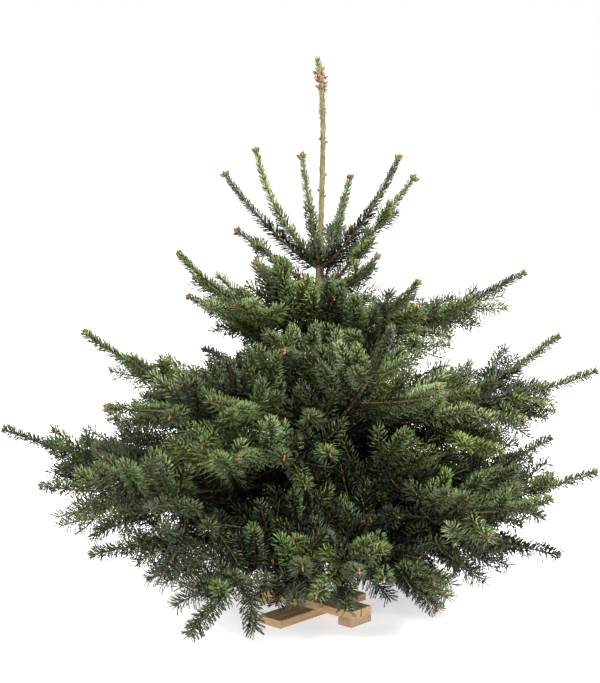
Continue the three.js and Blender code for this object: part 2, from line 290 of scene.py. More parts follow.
def direction(azimuth, rise):
    """The unit vector at an azimuth and a rise in degrees."""
    a, e = math.radians(azimuth), math.radians(rise)
    return np.array([math.cos(a) * math.cos(e), math.sin(a) * math.cos(e), math.sin(e)])


def between(table, x):
    """The value at x of a line through the table's rows."""
    return np.interp(x, [row[0] for row in table], [row[1] for row in table])


def seeded(seed):
    """The source's stream of numbers from 0 to 1."""
    state = seed
    while True:
        state = (state * 1664525 + 1013904223) % 2**32
        yield state / 2**32


def turned(v, axis, angle):
    """v, turned about a unit axis."""
    c, s = math.cos(angle), math.sin(angle)
    return v * c + np.cross(axis, v) * s + axis * (axis @ v) * (1 - c)


class Arc:
    """The line of a bough or shoot: it leaves its start along one direction and ends along another."""

    def __init__(self, start, leave, end, length):
        self.start, self.leave, self.length = start, leave, length
        self.bend = max(math.acos(np.clip(leave @ end, -1, 1)), 1e-3)
        self.across = unit(end - leave * (leave @ end))

    def point(self, t):
        radius, turn = self.length / self.bend, self.bend * np.asarray(t)[..., None]
        return self.start + radius * (np.sin(turn) * self.leave + (1 - np.cos(turn)) * self.across)

    def tangent(self, t):
        turn = self.bend * np.asarray(t)[..., None]
        return np.cos(turn) * self.leave + np.sin(turn) * self.across


def offshoot(parent, t, normal, hand, angle, turn, tilt, lift, roll, length):
    """A shoot that leaves `parent` at t, to its right for hand 1 and left for -1, and its own normal."""
    along = parent.tangent(t)
    side = unit(np.cross(along, normal))
    up = np.cross(side, along)

    def heading(off, rise):
        off, rise = math.radians(off), math.radians(rise)
        return unit(along * math.cos(off) + side * hand * math.sin(off) + up * math.tan(rise))

    leave = heading(angle, tilt)
    line = Arc(parent.point(t), leave, heading(angle - turn, tilt + lift), length)
    return line, turned(up, leave, math.radians(roll))


def bough_line(whorl, index):
    """A bough's arc from the middle of the trunk to its tip."""
    azimuth, reach, rise, curl = whorl["boughs"][index]
    height = whorl["height"] + whorl["stagger"] * (1 if index % 2 else -1)
    half = math.radians(abs(curl)) / 2
    start = np.array([between(LEAN, height), 0, height]) * MM
    leave = direction(azimuth, rise - curl / 2)
    end = direction(azimuth, rise + curl / 2)
    return Arc(start, leave, end, reach * half / math.sin(half) * MM)


def side_shoots(whorl, line, seed):
    """The pairs of side shoots of a bough, as the source draws them."""
    stream = seeded(seed)

    def vary(amount):
        return (2 * next(stream) - 1) * amount

    for pair, node in enumerate(whorl["nodes"]):
        for hand in (1, -1):
            length = whorl["share"] * (1 - node) * line.length * (1 + vary(SHOOT["spread"]))
            raised = (hand > 0) == (pair % 2 > 0)
            tilt = (whorl["raise"] if raised else -whorl["droop"]) + vary(SHOOT["tilt"])
            roll = vary(SHOOT["roll"])
            yield offshoot(
                line, node, UP, hand, SHOOT["angle"], SHOOT["turn"], tilt, SHOOT["lift"], roll, length
            )


# %% [markdown]
# ## Finer twigs
#
# The source stops at the side shoots, because a solid needs few faces. On the real bough each side shoot has
# its own pairs of twigs, a pair at the end of each year's wood, and a few short shoots stand up or hang down
# between them. Twigs also turn towards the light, so those on the bright front rise more than those behind.
# They could be modelled once and copied, but copies show at the tips. A seeded rule costs little and never
# repeats, so each bough has its own numbers, and the same ones on each run.

# %% The twig and its rule
YEAR = 118 * MM
TWIG = {
    "share": 0.9, "least": 82 * MM, "angle": (38, 50), "turn": (10, 22), "tilt": (-22, 6), "lift": (0, 8),
    "roll": (-20, 20), "thinner": 0.55, "thick": (1.25 * MM, 2.6 * MM), "tip": 1.1 * MM,
}
# Nothing grows on the first part of a shoot. Between two pairs there is sometimes a single twig.
PAIR = {"from": 0.05, "varies": (0.75, 1.05), "longest": 0.8}
SINGLE = {"from": 0.12, "chance": 0.4, "varies": (0.9, 1.2), "tilt": (-25, 25)}
# Nodes that a bough has between those of the source, and the shoots there.
EXTRA = {"share": 0.5, "least": 42 * MM, "varies": (0.8, 1.15), "tilt": (-24, 16)}
EXTRA_NODES = {
    "crown": [], "shoulder": [0.62], "upper": [0.18, 0.39],
    "middle": [0.2, 0.39, 0.575], "lower": [0.2, 0.39, 0.575, 0.77],
    "skirt": [0.16, 0.26, 0.49, 0.75],
}
STANDING = {
    "length": (60, 95), "place": (0.15, 0.6), "tilt": (25, 50), "angle": (20, 45),
    "count": {"middle": 2, "lower": 3},
}
HANGING = {
    "length": (80, 130), "place": (0.2, 0.72), "tilt": (-46, -20), "angle": (28, 48),
    "count": {"upper": 1, "middle": 4, "lower": 6, "skirt": 3},
}
# Degrees that the twigs of a bough rise more when it points at the light, and that a twig does when it does.
SUNWARD, TO_LIGHT = 45, 32


class Shoot:
    """A twig: its line, the side that faces up, its radius at foot and tip, and its order from the bough.

    Its own twigs rise `raised` degrees more than the rule says. A bough has order 0, a side shoot 1.
    """

    def __init__(self, line, normal, thick, thin, order, raised=0):
        self.line, self.normal, self.thick, self.thin, self.order = line, normal, thick, thin, order
        self.raised, self.tint = raised, 0

    def radius(self, t):
        return self.thin + (self.thick - self.thin) * (1 - np.asarray(t)) ** 1.4


def twig(parent, t, hand, length, rng, tilt=TWIG["tilt"], angle=TWIG["angle"]):
    """A twig on a shoot, with the rule's angles and its own numbers.

    The fourth power lets only twigs that point almost straight at the light, on the -Y side, rise further.
    """
    open_by = rng.uniform(*angle)
    turn = rng.uniform(*TWIG["turn"])
    rise = rng.uniform(*tilt) + parent.raised
    ends = (rng.uniform(*TWIG["lift"]), rng.uniform(*TWIG["roll"]), length)
    line, normal = offshoot(parent.line, t, parent.normal, hand, open_by, turn, rise, *ends)
    to_light = max(-line.tangent(0.5)[1], 0) ** 4
    if to_light > 0.1:
        rise += TO_LIGHT * to_light
        line, normal = offshoot(parent.line, t, parent.normal, hand, open_by, turn, rise, *ends)
    thinnest, thickest = TWIG["thick"]
    thick = max(min(TWIG["thinner"] * float(parent.radius(t)), thickest), thinnest)
    return Shoot(line, normal, thick, TWIG["tip"], parent.order + 1, parent.raised)


def pairs(parent, rng):
    """A pair of twigs at the end of each year's wood but the last, and sometimes a single one between."""
    length = parent.line.length
    for year in range(1, 8):
        t = 1 - year * YEAR / length
        if t > PAIR["from"]:
            for hand in (1, -1):
                size = max(TWIG["share"] * year * YEAR * rng.uniform(*PAIR["varies"]), TWIG["least"])
                yield twig(parent, t + rng.uniform(0, 0.04), hand, min(size, PAIR["longest"] * length), rng)
        t += (0.5 + rng.uniform(-0.15, 0.15)) * YEAR / length
        if t > SINGLE["from"] and year > 1 and rng.random() < SINGLE["chance"]:
            hand = 1 if rng.random() < 0.5 else -1
            size = TWIG["least"] * rng.uniform(*SINGLE["varies"])
            yield twig(parent, t, hand, size, rng, SINGLE["tilt"])


def grow(name, index):
    """All the shoots of one bough, the bough itself first."""
    whorl = WHORLS[name]
    seed = 100 * (list(WHORLS).index(name) + 1) + index
    rng = np.random.default_rng(seed)
    line = bough_line(whorl, index)
    raised = SUNWARD * max(-math.sin(math.radians(whorl["boughs"][index][0])), 0) ** 2
    stem = Shoot(line, UP, whorl["radius"] * MM, 1.5 * MM, 0, raised)
    sides = []
    for side_line, normal in side_shoots(whorl, line, seed):
        sides.append(Shoot(side_line, normal, 2.6 * MM, 1.4 * MM, 1, raised))
    for node in EXTRA_NODES[name]:
        for hand in (1, -1):
            size = max(EXTRA["share"] * (1 - node) * line.length, EXTRA["least"])
            size *= rng.uniform(*EXTRA["varies"])
            sides.append(twig(stem, node + rng.uniform(-0.02, 0.02), hand, size, rng, EXTRA["tilt"]))
    for kind in (STANDING, HANGING):
        for k in range(kind["count"].get(name, 0)):
            size = rng.uniform(*kind["length"]) * MM
            place = rng.uniform(*kind["place"])
            hand = 1 - k % 2 * 2
            sides.append(twig(stem, place, hand, size, rng, kind["tilt"], kind["angle"]))
    shoots = [stem]
    for side in sides:
        shoots.append(side)
        for second in pairs(side, rng):
            shoots.append(second)
            if second.line.length > 1.4 * YEAR:
                shoots += pairs(second, rng)
    return shoots


# %% [markdown]
# ## Shoots between the whorls
#
# A vigorous fir also sends short shoots straight from the trunk between its whorls. They are small and would
# crowd the solids' own spaces, so the source leaves them out, but without them the crown's inside is empty.
# Each leaves the trunk at the golden angle from the last, which is how a plant spreads them. A few on the
# bright side are stronger, and those have a row each.

# %% Shoots from the trunk itself
GOLDEN_ANGLE = 137.5
BETWEEN = {"count": 64, "low": 160, "high": 720, "length": (130, 260), "rise": (5, 35)}


def between_whorls():
    """Short shoots that stand on the trunk between its whorls, shorter and further apart towards the top."""
    rng = np.random.default_rng(9)
    grown = []
    for k in range(BETWEEN["count"]):
        part = (k + 0.5) / BETWEEN["count"]
        height = BETWEEN["low"] + (BETWEEN["high"] - BETWEEN["low"]) * part**1.3
        azimuth, rise = k * GOLDEN_ANGLE, rng.uniform(*BETWEEN["rise"])
        length = rng.uniform(*BETWEEN["length"]) * (1.15 - 0.5 * part) * MM
        start = np.array([between(LEAN, height), 0, height]) * MM
        line = Arc(start, direction(azimuth, rise), direction(azimuth + 12, rise + 14), length)
        stem = Shoot(line, UP, 2.8 * MM, 1.5 * MM, 1)
        grown.append([stem, *pairs(stem, rng)])
    return grown


# Height on the trunk, azimuth, length, and the rise at foot and tip.
FRONT_SHOOTS = [
    (630, 237, 250, 20, 84), (645, 212, 235, 25, 68), (640, 262, 185, 20, 74),
    (470, 314, 380, 0, 30), (450, 336, 370, -4, 20),
]


def front_shoots():
    """The stronger shoots between whorls, on the side that had the light."""
    rng = np.random.default_rng(21)
    grown = []
    for height, azimuth, length, foot, tip in FRONT_SHOOTS:
        start = np.array([between(LEAN, height), 0, height]) * MM
        line = Arc(start, direction(azimuth, foot), direction(azimuth, tip), length * MM)
        stem = Shoot(line, UP, 3.2 * MM, 1.6 * MM, 1, SUNWARD / 3)
        grown.append([stem, *pairs(stem, rng)])
    return grown


# %% Grow the tree
TREE = {name: [grow(name, k) for k in range(len(whorl["boughs"]))] for name, whorl in WHORLS.items()}
TREE["inner"] = between_whorls()
TREE["front"] = front_shoots()
for name, boughs in TREE.items():
    total = sum(shoot.line.length for shoots in boughs for shoot in shoots)
    print(name, len(boughs), "boughs", sum(map(len, boughs)), "shoots", round(total, 1), "m")

# %% [markdown]
# ## Needles
#
# A Nordmann needle is a flat strip, 25 mm long and 2 mm wide, dark and glossy above, with two pale waxy bands
# below. On a level shoot the needles lie in a comb to both sides and point forwards on top, and on an upright
# shoot they stand all round. A particle system would place them, but it doesn't export. Here one closed wedge
# of six triangles is repeated from arrays: its flat top takes the glossy green, and its keel the pale one. It
# is a little longer and wider than life, because the real tree has more needles than these.

# %% One needle, and copies of it
def hull(points):
    """The closed shape round a few points: its vertices, outward triangles, and how far each faces up."""
    bm = bmesh.new()
    made = [bm.verts.new(p) for p in points]
    bmesh.ops.convex_hull(bm, input=made)
    bmesh.ops.triangulate(bm, faces=bm.faces)
    bmesh.ops.recalc_face_normals(bm, faces=bm.faces)
    bm.verts.index_update()
    vertices = np.array([v.co for v in bm.verts])
    faces = np.array([[v.index for v in f.verts] for f in bm.faces])
    lifts = np.array([f.normal.z for f in bm.faces])
    bm.free()
    return vertices, faces, lifts


NEEDLE = hull([(-0.3, 0, 0), (0.3, 0, 0), (-0.5, 0.95, 0), (0.4, 1, 0), (0, 0.6, -0.6)])
print("needle", len(NEEDLE[1]), "triangles")


def scatter(shape, origins, along, normals, lengths, widths):
    """Copies of a shape: its y along `along`, its z up `normals`, as arrays of vertices and triangles."""
    vertices, faces, _ = shape
    across = np.cross(along, normals)
    placed = (
        origins[:, None]
        + vertices[None, :, 0, None] * (across * widths[:, None])[:, None]
        + vertices[None, :, 1, None] * (along * lengths[:, None])[:, None]
        + vertices[None, :, 2, None] * (normals * widths[:, None])[:, None]
    )
    corners = faces[None] + (np.arange(len(origins)) * len(vertices))[:, None, None]
    return placed.reshape(-1, 3), corners.reshape(-1, 3)


def array_mesh(name, vertices, faces, slots=None):
    """A mesh of triangles from arrays."""
    mesh = bpy.data.meshes.new(name)
    mesh.vertices.add(len(vertices))
    mesh.vertices.foreach_set("co", vertices.astype(np.float32).ravel())
    mesh.loops.add(3 * len(faces))
    mesh.loops.foreach_set("vertex_index", faces.astype(np.int32).ravel())
    mesh.polygons.add(len(faces))
    mesh.polygons.foreach_set("loop_start", np.arange(0, 3 * len(faces), 3, dtype=np.int32))
    if slots is not None:
        mesh.polygons.foreach_set("material_index", slots.astype(np.int32))
    mesh.update(calc_edges=True)
    mesh.validate()
    return mesh


# %% How needles stand on a shoot
# Length in millimetres, needles for each millimetre of a shoot, how much shorter they get towards its tip,
# and how much closer they stand on the bough itself, on its old wood and on its last year's.
HABIT = {
    "crown": {"length": 28, "density": 1.0, "fade": 0.58, "closer": (1.9, 1.5)},
    "shoulder": {"length": 29, "density": 0.8, "fade": 0.56, "closer": (1.5, 1.7)},
    "upper": {"length": 33, "density": 0.72, "fade": 0.54, "closer": (1.3, 2.8)},
    "middle": {"length": 34, "density": 0.7, "fade": 0.44, "closer": (1.2, 3.0)},
    "lower": {"length": 35, "density": 0.7, "fade": 0.36, "closer": (1.2, 3.0)},
    "skirt": {"length": 35, "density": 0.7, "fade": 0.2, "closer": (1.2, 2.6)},
    "inner": {"length": 34, "density": 0.55, "fade": 0.2, "closer": (1.0, 1.0)},
    "front": {"length": 33, "density": 0.75, "fade": 0.2, "closer": (1.0, 1.0)},
}
NEEDLE_LENGTH, NEEDLE_WIDTH = 30 * MM, 2.8 * MM
SIDE_CLOSER = 1.6
# The comb: degrees from the top to the lowest needle on a level and on an upright shoot, the angle between
# needle and shoot on top, how much wider it is at the flanks, and how it closes along an upright shoot.
LEVEL_FAN, UPRIGHT_FAN = 148, 180
OPEN, FLANK_OPEN, CLOSING = 54, 12, 22
TIP_LENGTH, TIP_CLOSING = 16 * MM, 16
GOLDEN_PART = 0.618
# Height, and how far from the trunk's axis the needles get a step of painted shade there, as the crown shades
# them.
SHADED = [(60, 300), (150, 340), (300, 340), (450, 250), (600, 100), (730, 40), (800, 30)]
FLOOR_CLEARANCE = 6 * MM


def needles_on(shoot, habit, rng):
    """Origins, directions, normals, lengths and darker steps of a shoot's needles, for age and painted shade.
    """
    line, length = shoot.line, shoot.line.length
    if shoot.order == 0:
        wood, young = habit["closer"]
        first, fade = 0.1 * habit["fade"], habit["fade"]
    else:
        wood, young = 1.0, SIDE_CLOSER if shoot.order == 1 else 1.0
        first, fade = min(6 * MM / length, 0.2), 0.4 * habit["fade"]

    # Places along the shoot, closer where the habit says.
    steps = np.linspace(first, 1, 60)
    last_year = length * (1 - steps) < 1.1 * YEAR
    laid = np.cumsum(np.where(last_year, young, wood))
    count = max(int(laid[-1] / len(steps) * (1 - first) * length / MM * habit["density"]), 4)
    t = np.interp((np.arange(count) + 0.6 * rng.random(count)) / count * laid[-1], laid, steps)
    along = line.tangent(t)
    # 0 on a level shoot, and 1 on one that rises by more than some fifty degrees.
    upright = np.clip((np.abs(along[:, 2]) - 0.35) / 0.45, 0, 1)
    lit = unit(0.5 * shoot.normal + 0.5 * UP + 0.001)
    side = unit(np.cross(along, lit))
    up = np.cross(side, along)

    # Each needle's way round the shoot, and how far it opens from it.
    around = (np.arange(count) * GOLDEN_PART + rng.uniform(-0.06, 0.06, count)) % 1 * 2 - 1
    flank = np.abs(around)
    phi = np.radians(around * (LEVEL_FAN + (UPRIGHT_FAN - LEVEL_FAN) * upright))
    tip = np.clip((t - 1) * length / TIP_LENGTH + 1, 0, 1)
    open_by = (OPEN + FLANK_OPEN * flank) * (1 - upright) + (OPEN - CLOSING * t) * upright - TIP_CLOSING * tip
    open_by = np.radians(open_by + rng.normal(0, 2.2, count))
    out = np.cos(phi)[:, None] * up + np.sin(phi)[:, None] * side
    heading = np.cos(open_by)[:, None] * along + np.sin(open_by)[:, None] * out
    heading = unit(heading + rng.normal(0, 0.03, (count, 3)))
    facing = (1 - upright)[:, None] * up + upright[:, None] * along + rng.normal(0, 0.4, (count, 3))
    normals = unit(facing - heading * np.sum(facing * heading, axis=1, keepdims=True) + 1e-6)

    # Longest in the middle of each year's wood and at the flanks, and short at the tip.
    year = (length * (1 - t) / YEAR) % 1
    swell = 0.84 + 0.16 * np.sin(np.pi * np.clip(year + 0.1, 0, 1))
    sizes = habit["length"] * MM * swell * (0.88 + 0.12 * flank * (1 - upright) + 0.12 * upright)
    sizes *= rng.uniform(0.86, 1.08, count) * (1 - fade * t**1.3) * (1 - 0.15 * tip)
    origins = line.point(t) + out * (shoot.radius(t) * 0.7)[:, None]
    keep = (origins + heading * sizes[:, None])[:, 2] > FLOOR_CLEARANCE
    in_painted_shade = np.hypot(origins[:, 0], origins[:, 1]) < between(SHADED, origins[:, 2] / MM) * MM
    # One darker step for old wood, and one of painted shade for needles inside the crown.
    old = (length * (1 - t) > 1.2 * YEAR) + in_painted_shade.astype(int)
    return [a[keep] for a in (origins, heading, normals, sizes, old)]


# %% [markdown]
# ## Needle colours
#
# A fir's needles aren't one green. Older needles are darker, last year's are a deep green, some sprays are
# yellower, and wax makes others greyish. The near-black shade tint is painted shade, for needles deep in the
# crown and on low and inner shoots, where the light doesn't reach. Each spray is dealt one tint as a plain
# colour, above and below. A texture could vary them, but on so many small parts it would fall anywhere.
# Cuticle wax gives a soft gloss, so the roughness is moderate. The painted-shade tint has little gloss, so it
# stays dark.

# %% Needle tints
# The shade tint is painted shade: a near-black for needles that the crown shades.
TINTS = {
    "shade": ("#080c02", "#12170a"), "deep": ("#142004", "#26300f"), "leaf": ("#213208", "#39451d"),
    "waxy": ("#35421b", "#59633f"), "fresh": ("#32430b", "#4d5a26"), "bright": ("#284508", "#425526"),
}
NEEDLE_FINISH = []
for tint, (above, below) in TINTS.items():
    # The painted-shade tint gets little gloss, so no reflection lifts it.
    gloss = 0.15 if tint == "shade" else 0.4
    NEEDLE_FINISH.append(finish(f"fir_needle_{tint}_upper", above, 0.42, gloss)[0])
    NEEDLE_FINISH.append(finish(f"fir_needle_{tint}_under", below, 0.55, 0.7 * gloss)[0])
print(len(NEEDLE_FINISH), "needle finishes")
LEAF, FRESH = list(TINTS).index("leaf"), list(TINTS).index("fresh")
# What becomes of each tint on needles no step, one step and two steps darker: for older wood, and for painted
# shade deep in the crown.
DARKER = np.array([[0, 1, 2, 3, 4, 5], [0, 0, 1, 2, 2, 2], [0, 0, 0, 1, 1, 1]])
# The chance of each tint, in the order above. The shade tint, and the big deep shares low down and on the
# inner shoots, are painted shade.
MIX = {
    "crown": (0.0, 0.4, 0.4, 0.1, 0.1, 0.0), "shoulder": (0.0, 0.3, 0.4, 0.15, 0.15, 0.0),
    "upper": (0.0, 0.24, 0.38, 0.26, 0.12, 0.0), "middle": (0.04, 0.38, 0.32, 0.19, 0.07, 0.0),
    "lower": (0.06, 0.42, 0.3, 0.14, 0.04, 0.04), "skirt": (0.12, 0.46, 0.2, 0.04, 0.04, 0.14),
    "inner": (0.4, 0.4, 0.15, 0.03, 0.02, 0.0), "front": (0.0, 0.05, 0.35, 0.35, 0.25, 0.0),
}
STRAYS = 0.15


def deal_tints(shoots, mix, rng):
    """Gives each side shoot and the twigs after it one tint, with a few strays, and boughs no pale one."""
    tint = LEAF
    for shoot in shoots:
        if shoot.order <= 1:
            tint = int(rng.choice(len(TINTS), p=mix))
        shoot.tint = tint if rng.random() > STRAYS else int(rng.choice(len(TINTS), p=mix))
        if shoot.order == 0 and mix is not MIX["crown"]:
            shoot.tint = min(shoot.tint, LEAF)


# %% Lay the needles
def masses(key, indexes):
    """The CAD masses that a part of a whorl stands for."""
    return [f"foliage_{key}_{k + 1}" for k in indexes] if key in WHORLS else []


def needle_slots(tints):
    """Two material slots for each tint: one for the faces on top, and one for those below."""
    under = (NEEDLE[2] < 0.5).astype(int)
    return 2 * np.repeat(tints, len(under)) + np.tile(under, len(tints))


def lay_needles(name, key, indexes):
    """All the needles of some boughs, as one piece."""
    rng = np.random.default_rng(1000 + len(name) * 7 + indexes[0])
    rows, tints = [], []
    for index in indexes:
        shoots = TREE[key][index]
        deal_tints(shoots, MIX[key], rng)
        for shoot in shoots:
            *row, old = needles_on(shoot, HABIT[key], rng)
            rows.append(row)
            # The tint steps darker on old wood, and by painted shade inside the crown.
            tints.append(DARKER[old, shoot.tint])
    origins, heading, normals, sizes = (np.concatenate([row[k] for row in rows]) for k in range(4))
    widths = NEEDLE_WIDTH * (sizes / NEEDLE_LENGTH) ** 0.25
    vertices, faces = scatter(NEEDLE, origins, heading, normals, sizes, widths)
    mesh = array_mesh(name, vertices, faces, needle_slots(np.concatenate(tints)))
    piece(name, mesh, NEEDLE_FINISH, "needles", *masses(key, indexes))
    print(name, len(sizes), "needles", len(faces), "triangles")


# The name of each piece, its whorl, and its boughs. The two big whorls are halved, to keep pieces small.
GROUPS = [
    ("crown", "crown", range(5)), ("shoulder", "shoulder", range(5)), ("upper", "upper", range(6)),
    ("middle_a", "middle", range(4)), ("middle_b", "middle", range(4, 8)),
    ("lower_a", "lower", range(4)), ("lower_b", "lower", range(4, 8)), ("skirt", "skirt", range(7)),
    ("inner", "inner", range(BETWEEN["count"])), ("front", "front", range(len(FRONT_SHOOTS))),
]
for suffix, key, indexes in GROUPS:
    lay_needles(f"needles_{suffix}", key, list(indexes))

# %% [markdown]
# ## Twigs
#
# Under the needles, a fir's young twigs are orange-brown and smooth, and turn grey with age. A curve with a
# round bevel could draw them, but it would have to be made a mesh again, and there are over a thousand. So
# each is a thin closed tube that tapers, with three sides, made from arrays.

# %% Twig tubes
STATION = 45 * MM


def tubes(shoots, sides):
    """Closed tapering tubes along shoots, as arrays of vertices and triangles."""
    turn = np.arange(sides) * 2 * np.pi / sides
    vertices, faces, base = [], [], 0
    for shoot in shoots:
        stations = 3 + int(shoot.line.length / STATION)
        t = np.linspace(0, 1, stations)
        centre, along = shoot.line.point(t), shoot.line.tangent(t)
        side = unit(np.cross(along, shoot.normal + 0.001))
        up = np.cross(side, along)
        rim = np.cos(turn)[None, :, None] * side[:, None] + np.sin(turn)[None, :, None] * up[:, None]
        rings = centre[:, None] + rim * shoot.radius(t)[:, None, None]
        vertices += [rings.reshape(-1, 3), centre[:1], centre[-1:] + along[-1:] * shoot.thin]
        ring = np.arange(sides)
        after = (ring + 1) % sides
        for k in range(stations - 1):
            low, high = base + k * sides, base + (k + 1) * sides
            faces.append(np.stack([low + ring, high + ring, high + after], axis=1))
            faces.append(np.stack([low + ring, high + after, low + after], axis=1))
        foot, tip = base + stations * sides, base + stations * sides + 1
        faces.append(np.stack([np.full(sides, foot), base + ring, base + after], axis=1))
        last = base + (stations - 1) * sides
        faces.append(np.stack([np.full(sides, tip), last + after, last + ring], axis=1))
        base += stations * sides + 2
    return np.concatenate(vertices), np.concatenate(faces)


# Smooth young bark: an orange-brown that shows between the needles, and hardly any shine.
TWIG_BARK, _ = finish("fir_young_twig_bark", "#4a3a20", 0.7, 0.3)
for suffix, key, indexes in GROUPS:
    shoots = [shoot for k in indexes for shoot in TREE[key][k] if shoot.order > 0]
    if shoots:
        mesh = array_mesh(f"twigs_{suffix}", *tubes(shoots, sides=3))
        piece(f"twigs_{suffix}", mesh, [TWIG_BARK], "bark", *masses(key, indexes))
        print(mesh.name, len(shoots), "twigs", len(mesh.polygons), "triangles")

# %% [markdown]
# ## Buds
#
# In winter each shoot ends in a cluster of egg-shaped buds, brown to orange and dry. They catch the light at
# the tips, so they are worth their faces: a blunt egg of eight triangles, repeated from arrays. Every bough
# has a cluster, most side shoots have a small one, and on the finer twigs the last needles mostly hide it.

# %% Buds at the tips
EGG = hull([(0, 0, 0), (0.5, 0.45, 0), (-0.5, 0.45, 0), (0, 0.45, 0.5), (0, 0.45, -0.5), (0, 1, 0)])
# Dry bud scales are papery and dull, so there is no gloss, and their colour does the work.
BUD_FINISH = [
    finish("fir_bud_scale_brown", "#46361e", 0.65, 0.3)[0],
    finish("fir_bud_scale_orange", "#68441f", 0.65, 0.3)[0],
    finish("fir_bud_scale_tan", "#66493a", 0.65, 0.3)[0],
]
BUD_MIX = {"crown": (0.9, 0.05, 0.05), "shoulder": (0.8, 0.15, 0.05), "leader": (0.25, 0.0, 0.75)}
OTHER_BUDS = (0.72, 0.24, 0.04)
# The chance of a cluster, by the shoot's order. A bough's has five buds, a side shoot's three, a twig's two.
BUD_CHANCE = (1.0, 0.7, 0.1, 0.0, 0.0)
BUD_SIZE = {"leading": 18, "bough": 13, "side": 9, "twig": 7}
BUD_ROUND = 0.62


def bud_cluster(shoot, key, rng):
    """Origins, headings and sizes of the buds at a shoot's tip: a big one and a ring round it."""
    tip, along = shoot.line.point(1.0), shoot.line.tangent(1.0)
    side = unit(np.cross(along, shoot.normal + 0.001))
    up = np.cross(side, along)
    if rng.random() > BUD_CHANCE[shoot.order] or tip[2] < 3 * FLOOR_CLEARANCE:
        return []
    kind = ("leading" if key in ("crown", "shoulder") else "bough", "side", "twig")[min(shoot.order, 2)]
    size = BUD_SIZE[kind]
    fans = [(0, 0)] + [(rng.uniform(36, 58), spin + rng.uniform(-20, 20)) for spin in (0, 90, 180, 270)]
    rows = []
    for lean, spin in fans[:: min(shoot.order, 2) + 1]:
        lean, spin = math.radians(lean), math.radians(spin)
        out = math.cos(spin) * side + math.sin(spin) * up
        heading = unit(math.cos(lean) * along + math.sin(lean) * out)
        rows.append((tip - along * 0.25 * size * MM, heading, size * rng.uniform(0.85, 1.1) * MM))
    return rows


def bud_mesh(name, key, rows, rng):
    """A mesh of buds, each with one of the bud finishes."""
    origins, headings, sizes = (np.array([row[k] for row in rows]) for k in range(3))
    normals = unit(np.cross(headings, np.cross(UP + 0.01, headings)))
    vertices, faces = scatter(EGG, origins, headings, normals, sizes, sizes * BUD_ROUND)
    kinds = rng.choice(len(BUD_FINISH), len(sizes), p=BUD_MIX.get(key, OTHER_BUDS))
    slots = np.repeat(kinds, len(EGG[1]))
    print(name, len(sizes), "buds", len(faces), "triangles")
    return array_mesh(name, vertices, faces, slots)


def lay_buds(name, key, indexes):
    """All the buds of some boughs, as one piece."""
    rng = np.random.default_rng(5000 + len(name) * 7 + indexes[0])
    rows = [row for k in indexes for shoot in TREE[key][k] for row in bud_cluster(shoot, key, rng)]
    piece(name, bud_mesh(name, key, rows, rng), BUD_FINISH, "bark", *masses(key, indexes))


for suffix, key, indexes in GROUPS:
    lay_buds(f"buds_{suffix}", key, list(indexes))

# %% [markdown]
# ## Bark on the boughs and the trunk
#
# A young fir's bark is smooth and grey-brown, with small ridges and resin blisters. A displacement texture
# could add them at render time, but the mesh itself is kept, so the relief is modelled: a capped circle is
# extruded station by station along the limb, and each ring is pushed in and out by noise.

# %% Sweep a limb
RIDGES_PER_METRE = 90


def sweep(bm, centres, along, radii, sides, relief):
    """A closed round limb through `centres`, with a relief in metres."""
    around = bm.verts.layers.float_vector.get("around") or bm.verts.layers.float_vector.new("around")
    ring = bmesh.ops.create_circle(bm, cap_ends=True, radius=1, segments=sides)["verts"]
    cap = ring[0].link_faces[0]
    for v in ring:
        v[around] = v.co
    for k, centre in enumerate(centres):
        if k:
            made = bmesh.ops.extrude_face_region(bm, geom=[cap])["geom"]
            cap = next(g for g in made if isinstance(g, bmesh.types.BMFace))
        run = Vector(along[k])
        side = run.cross(Vector((0, 1, 0.01)) if abs(run.y) < 0.9 else Vector((1, 0, 0.01))).normalized()
        up = side.cross(run)
        for v in cap.verts:
            out = side * v[around].x + up * v[around].y
            place = Vector(centre) + out * radii[k]
            v.co = place + out * relief * noise.fractal(place * RIDGES_PER_METRE, 0.8, 2.0, 3)


# %% Bark
MOTTLE = (0.35, 0.5, 0.65)
YOUNG_BARK = ["#3b321e", "#52462c", "#67593f"]
# Between these heights the old wood's grey-brown gives way to the year's olive, which is smooth and waxy.
YOUNG_FROM, YOUNG_ALL = 800 * MM, 860 * MM


def bark(name, patch, old):
    """Dull bark with patches `patch` metres wide and three times as tall, in three shades."""
    material, shader = finish(name, old[1], 0.8, 0.3)
    where = add(material, "ShaderNodeTexCoord").outputs["Object"]
    height = add(material, "ShaderNodeSeparateXYZ", Vector=where).outputs["Z"]
    heights = {"From_Min": YOUNG_FROM, "From_Max": YOUNG_ALL}
    age = add(material, "ShaderNodeMapRange", Value=height, **heights).outputs["Result"]
    stretch = add(material, "ShaderNodeMapping", Vector=where, Scale=(1, 1, 0.35)).outputs["Vector"]
    mottle = add(material, "ShaderNodeTexNoise", Vector=stretch, Scale=1 / patch, Detail=5).outputs["Fac"]
    aged = colored(add(material, "ShaderNodeValToRGB", Fac=mottle), zip(MOTTLE, old))
    young = colored(add(material, "ShaderNodeValToRGB", Fac=mottle), zip(MOTTLE, YOUNG_BARK))
    mixed = add(material, "ShaderNodeMix", {"data_type": "RGBA"}, _0=age, _6=aged, _7=young)
    material.node_tree.links.new(mixed.outputs[2], shader.inputs["Base Color"])
    return material


